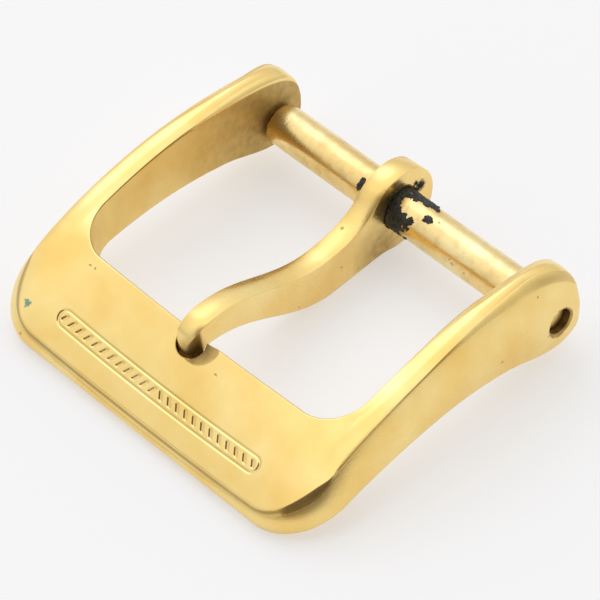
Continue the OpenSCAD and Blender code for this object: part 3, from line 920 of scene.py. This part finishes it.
# %% Colour and shine of the plate
cloud_mm, haze_mm = 2.8, 0.9
buffed, dull, stain_rough = 0.13, 0.42, 0.3


def plate_colour(node, tones, stain_and_shade, covered, cover_colour):
    clouds = node("MapRange", lumps(node, cloud_mm), 0.3, 0.7)
    gold = node("Mix", clouds, at={6: hex_linear(tones[0]), 7: hex_linear(tones[1])}, out=2, data_type="RGBA")
    gold = node("Mix", stain_and_shade, at={6: gold, 7: hex_linear(BROWN_STAIN_AND_SHADE)}, out=2, data_type="RGBA")
    return node("Mix", covered, at={6: gold, 7: hex_linear(cover_colour)}, out=2, data_type="RGBA")


def plate_roughness(node, polish, stain_and_shade, covered):
    haze = node("MapRange", lumps(node, haze_mm), 0.3, 0.75, -0.03, 0.07)
    rough = node("Math", node("MapRange", polish, CAST, POLISHED, dull, buffed), haze)
    dirty = node("Math", stain_and_shade, covered, operation="MAXIMUM")
    return node("Math", dirty, stain_rough, rough, operation="MULTIPLY_ADD")


# %% Relief of the plate
wave_mm = 1.3
grit_mm = 0.12  # the real grit is about half as large, too fine to show
hair_mm = 0.06  # real scratches are ten times finer
brushed_mm = 0.07  # real brush lines are a few times finer
bump_mm = 0.006
hairs_along, hairs_over, filed_up = (22, 1, 1), (1, 16, 1), (1, 1, 25)
wave_high, hair_high, pit_high = 0.9, 0.35, -3.0


def plate_height(node, polish, pitted, lines):
    """Grit where it was cast, lines where it was filed or brushed, and hairs, waves and pits all over."""
    grit = node("Math", lumps(node, grit_mm), node("MapRange", polish, CAST, SMOOTHED, 1.0, 0.08),
                operation="MULTIPLY")
    filed = node("Math", lumps(node, brushed_mm, filed_up, 1.0),
                 node("MapRange", polish, 0.05, MATT, 0.9, 0.0), operation="MULTIPLY")
    near_brushed = node("Math", polish, BRUSHED, 0.3, operation="COMPARE")
    brushed = node("Math", lumps(node, brushed_mm, lines, 1.0),
                   node("MapRange", near_brushed, 0, 1, 0, 0.5), operation="MULTIPLY")
    hairs = node("Math", lumps(node, hair_mm, hairs_along, 2.0), lumps(node, hair_mm, hairs_over, 2.0),
                 operation="MULTIPLY")
    height = node("Math", node("Math", grit, filed), brushed)
    height = node("Math", hairs, hair_high, height, operation="MULTIPLY_ADD")
    height = node("Math", lumps(node, wave_mm), wave_high, height, operation="MULTIPLY_ADD")
    return node("Math", pitted, pit_high, height, operation="MULTIPLY_ADD")


# %% Gold plate
along_arm, round_bar = (1, 40, 1), (1, 25, 25)  # how far brush lines are drawn out along x, y and z
pit_ragged_mm, cover_ragged_mm = 0.035, 0.12


def gold_plate(name, polish, browned_and_shaded=0.0, pits=(), covers=(), cover_colour=VERDIGRIS,
               tones=(PLATE_WARM, PLATE_PALE), lines=along_arm):
    """polish and the brown of stains and painted shade are amounts or functions that give them; lines says
    which way it was brushed.
    """
    material, node, shader, link = new_material(name)
    if callable(polish):
        polish = polish(node)
    if callable(browned_and_shaded):
        browned_and_shaded = browned_and_shaded(node)
    all_over = specks(node, pit_apart_mm, pit_mm, pit_share)
    pitted = node("Math", all_over, spots(node, pits, pit_ragged_mm), operation="MAXIMUM")
    stain_and_shade = stained_and_shaded(node, polish, browned_and_shaded, pitted)
    covered = spots(node, covers, cover_ragged_mm)
    height = plate_height(node, polish, pitted, lines)
    link(plate_colour(node, tones, stain_and_shade, covered, cover_colour), shader.inputs["Base Color"])
    link(plate_roughness(node, polish, stain_and_shade, covered), shader.inputs["Roughness"])
    link(node("Bump", at={"Height": height, "Distance": bump_mm * MM}), shader.inputs["Normal"])
    shader.inputs["Metallic"].default_value = 1.0
    return material


def stored_polish(node):
    """The polish that the piece's points store."""
    return node("Attribute", attribute_name="polish", out="Fac")


# %% [markdown]
# Each piece has its own stains and painted dark: brown where sweat stays longest, painted shade in the holes,
# the notch's pocket and round the tube's ends, a painted dark reflection low on the tongue and on its nose,
# thin clouds on the tube, and a few single pits and spots at the places where they are on the real one, given
# as x, y, z and a radius in millimetres.

# %% Where the plate has browned, and where shade is painted
def from_bar(node):
    """Distance from the bar's axis."""
    across = node("VectorMath", node("TexCoord", out="Object"), (0, 1, 1), operation="MULTIPLY")
    return node("VectorMath", across, operation="LENGTH", out="Value")


def browned_and_shaded_corners(node):
    """Brown tarnish with painted shade on the lugs' inner walls round the ends of the tube, brown in the
    notch's dish, and painted shade down in its pocket and inside the lug holes.
    """
    # Brown tarnish and painted shade on the inner walls, darkest near the tube
    far = node("Math", lumps(node, 0.7), -0.6 * MM, from_bar(node), operation="MULTIPLY_ADD")
    inner = node("MapRange", stored_polish(node), MATT, DULL / 2)
    by_tube = node("Math", node("MapRange", far, 6.0 * MM, 0.5 * MM, 0.08, 0.62), inner, operation="MULTIPLY")
    from_pocket = away_from(node, (pocket_x, -front_in - pocket_in, notch_z))
    from_dish = away_from(node, dish_middle)
    deeper = node("MapRange", from_pocket, (pocket_r + 0.6) * MM, (pocket_r + 0.1) * MM, 0.3, 0.8)
    in_dish = node("Math", node("MapRange", from_dish, (dish_r + 0.03) * MM, dish_r * MM), deeper,
                   operation="MULTIPLY")
    # Painted shade down in the notch's pocket
    in_pocket = node("MapRange", from_pocket, (pocket_r + 0.06) * MM, (pocket_r + 0.01) * MM, 0.0, 0.9)
    in_notch = node("Math", in_dish, in_pocket, operation="MAXIMUM")
    # Painted shade inside the lug holes
    in_hole = node("MapRange", from_bar(node), (hole_r + 0.015) * MM, (hole_r + 0.005) * MM)
    return node("Math", node("Math", by_tube, in_notch, operation="MAXIMUM"), in_hole, operation="MAXIMUM")


def painted_dark_root_and_nose(node):
    """Painted dark reflection on the tongue's flanks below the eye, where they mirror the shaded table, and
    on the ground side of its nose.
    """
    # Painted dark reflection low on the flanks under the eye
    from_root = away_from(node, (-0.1, -1.2, -1.5))
    from_root = node("Math", lumps(node, 0.5), -0.8 * MM, from_root, operation="MULTIPLY_ADD")
    at_root = node("MapRange", from_root, 1.7 * MM, 0.1 * MM, 0.0, 0.6)
    # Painted dark reflection on the ground side of the nose
    at_nose = node("MapRange", away_from(node, (0.3, -12.95, 0.9)), 0.8 * MM, 0.3 * MM, 0.0, 0.75)
    return node("Math", at_root, at_nose, operation="MAXIMUM")


def mottled(node):
    """Thin brown clouds all over the tube."""
    return node("MapRange", lumps(node, 0.45, detail=5.0), 0.45, 0.8, 0.03, 0.3)


# %% Plate of each piece
frame_pits = [(9.88, -3.75, 0.42, 0.09), (9.46, -1.13, 2.2, 0.08), (9.82, -0.82, -0.24, 0.07),
              (2.0, -13.22, 0.89, 0.09), (-7.6, -16.13, -1.57, 0.1), (-6.51, -12.74, 1.05, 0.08),
              (-6.2, -12.74, 1.07, 0.06)]
green_spot = [(-8.02, -15.25, -0.56, 0.2)]
cast_plate = gold_plate("gold_plated_brass_cast", stored_polish, browned_and_shaded_corners, frame_pits, green_spot)

tongue_pits = [(0.08, -3.87, -0.84, 0.08), (0.03, -2.79, -1.75, 0.07), (0.2, -6.59, -1.27, 0.06),
               (-0.75, -3.03, 0.43, 0.1)]
eye_spots = [(-0.1, 1.28, 0.42, 0.42), (-0.1, 1.0, 0.75, 0.25)]
stamped_plate = gold_plate("gold_plated_brass_stamped", stored_polish, painted_dark_root_and_nose, tongue_pits, eye_spots,
                           BLACKENED)

tube_pits = [(3.89, -0.94, 0.34, 0.06), (4.07, -0.98, 0.19, 0.08), (4.82, -0.99, 0.16, 0.08),
             (2.47, -0.12, 0.99, 0.05)]
drawn_plate = gold_plate("gold_plated_brass_drawn", 0.72, mottled, tube_pits, tones=("#f0cc80", "#fbe4a6"),
                         lines=round_bar)
turned_plate = gold_plate("gold_plated_brass_turned", MATT, 0.05, lines=round_bar)
print("plates", [plate.name for plate in (cast_plate, stamped_plate, drawn_plate, turned_plate)])

# %% [markdown]
# The spring is hard drawn steel wire: grey, with a dull shine along the wire and a few brown spots.
# The dried grime is skin grease and dust: nearly black, a little green from the brass, lumpy, and neither
# shiny nor quite dull, with a few grains of gold rubbed off the plate.

# %% Spring wire
rust_mm, drawn_mm, wire_grain_mm, wire_bump_mm = 0.5, 0.08, 0.05, 0.004
drawn_steel, node, shader, link = new_material("spring_steel_drawn")
rusty = node("MapRange", lumps(node, rust_mm), 0.6, 0.75)
steel = node("Mix", rusty, at={6: hex_linear("#b9b6b0"), 7: hex_linear("#7c6650")}, out=2, data_type="RGBA")
link(steel, shader.inputs["Base Color"])
link(node("MapRange", lumps(node, drawn_mm), 0.3, 0.7, 0.25, 0.42), shader.inputs["Roughness"])
grain = lumps(node, wire_grain_mm)
link(node("Bump", at={"Height": grain, "Distance": wire_bump_mm * MM}), shader.inputs["Normal"])
shader.inputs["Metallic"].default_value = 1.0

# %% Dried grime
clump_mm, greasy_mm, crumb_mm, crumb_high_mm = 0.3, 0.12, 0.1, 0.03
fleck_apart_mm, fleck_mm, fleck_share = 0.3, 0.09, 0.12
crusted, node, shader, link = new_material("grease_and_dust_dried")
clumps = node("MapRange", lumps(node, clump_mm), 0.35, 0.65)
dirt = node("Mix", clumps, at={6: hex_linear("#1b1c1a"), 7: hex_linear("#33362f")}, out=2, data_type="RGBA")
flecks = specks(node, fleck_apart_mm, fleck_mm, fleck_share)
dirt = node("Mix", flecks, at={6: dirt, 7: hex_linear("#9c8350")}, out=2, data_type="RGBA")
link(dirt, shader.inputs["Base Color"])
link(node("MapRange", lumps(node, greasy_mm), 0.3, 0.7, 0.35, 0.75), shader.inputs["Roughness"])
crumbs = lumps(node, crumb_mm)
link(node("Bump", at={"Height": crumbs, "Distance": crumb_high_mm * MM}), shader.inputs["Normal"])

# %% Give each piece its finish
finishes = {cast_frame: cast_plate, tongue_plate: stamped_plate, bar_sleeve: drawn_plate,
            pin_right: turned_plate, pin_left: turned_plate, coil_left: drawn_steel,
            coil_right: drawn_steel, dried_grime: crusted}
for piece, material in finishes.items():
    piece.data.materials.clear()
    piece.data.materials.append(material)
print({piece.name: material.name for piece, material in finishes.items()})

# %% [markdown]
# The buckle lies on a sheet of matt white card, which gives the eye an even white without a shine. A plane
# would do; a disc large enough for the metal to mirror it as far as the horizon has no corners to show.
# Light comes through the table too, so a part of its white is its own: that keeps the shadows as pale as
# they are on a lit table.

# %% Floor
floor_r, below_foot, glow = 600, 0.01, 0.505
ground = bmesh.new()
bmesh.ops.create_circle(ground, cap_ends=True, segments=64, radius=floor_r * MM,
                        matrix=Matrix.Translation((0, 0, (foot_z - below_foot) * MM)))
ground_mesh = bpy.data.meshes.new("white_card")
ground.to_mesh(ground_mesh)
ground.free()
white_card = bpy.data.objects.new("white_card", ground_mesh)
bpy.context.scene.collection.objects.link(white_card)
card, node, shader, link = new_material("matt_white_card")
shader.inputs["Base Color"].default_value = hex_linear("#bfbfbf")
shader.inputs["Roughness"].default_value = 0.9
shader.inputs["Specular IOR Level"].default_value = 0.1
shader.inputs["Emission Color"].default_value = hex_linear("#fbfbfb")
shader.inputs["Emission Strength"].default_value = glow
white_card.data.materials.append(card)
print("card", 2 * floor_r, "mm across")

# %% [markdown]
# Metal looks like what stands round it, so the light is the whole tent. Lamps would leave hard spots in the
# gold; instead the tent is painted on the world as a function of the direction. It is brightest overhead,
# brighter on the left than on the right, and dims just above the table, most of all in front. A soft box
# behind on the left adds bluish streaks along the bar and the arms. In front on the right the tent is open
# to a dim room, which is what the brown lines on the edges and the corners mirror.

# %% World
at_horizon, rise_overhead, left_gain = 0.74, 0.56, 0.14
low_behind, low_in_front, low_from, low_to = 0.95, 0.66, 0.22, 0.05
box_way, box_core, box_rim = Vector((-0.62, 0.30, 0.72)).normalized(), radians(11), radians(28)
box_strength, box_tint = 0.6, (0.85, 0.95, 1.5)
room_way, room_core, room_rim = Vector((0.71, -0.5, 0.5)).normalized(), radians(44), radians(54)
room_low, room_high, ROOM = 0.1, 0.18, "#786d64"

world = bpy.data.worlds.new("light_tent")
bpy.context.scene.world = world
world.use_nodes = True
node = partial(add, world.node_tree)
outward = node("VectorMath", node("TexCoord", out="Generated"), operation="NORMALIZE")
up = node("SeparateXYZ", outward, out="Z")
tent = node("Math", node("Math", up, up, operation="MULTIPLY"), rise_overhead, at_horizon,
            operation="MULTIPLY_ADD")
from_left = node("Math", node("SeparateXYZ", outward), -left_gain, 1.0, operation="MULTIPLY_ADD")
by_table = node("MapRange", node("SeparateXYZ", outward, out="Y"), 0.3, -0.3, low_behind, low_in_front)
low = node("MapRange", up, low_from, low_to, 1.0, by_table, interpolation_type="SMOOTHSTEP")
tent = node("Math", node("Math", tent, from_left, operation="MULTIPLY"), low, operation="MULTIPLY")

to_box = node("VectorMath", outward, box_way, operation="DOT_PRODUCT", out="Value")
soft_box = node("MapRange", to_box, cos(box_rim), cos(box_core), 0.0, box_strength,
                interpolation_type="SMOOTHSTEP")
tent = node("VectorMath", tent, node("VectorMath", box_tint, operation="SCALE", at={"Scale": soft_box}))

to_room = node("VectorMath", outward, room_way, operation="DOT_PRODUCT", out="Value")
room = node("MapRange", to_room, cos(room_rim), cos(room_core), interpolation_type="SMOOTHSTEP")
above_table = node("MapRange", up, room_low, room_high, interpolation_type="SMOOTHSTEP")
room = node("Math", room, above_table, operation="MULTIPLY")
light = node("Mix", room, at={6: tent, 7: hex_linear(ROOM)}, out=2, data_type="RGBA")
world.node_tree.links.new(light, world.node_tree.nodes["Background"].inputs["Color"])
bpy.context.scene.view_settings.view_transform = "Standard"
print("light tent of", len(world.node_tree.nodes), "nodes")
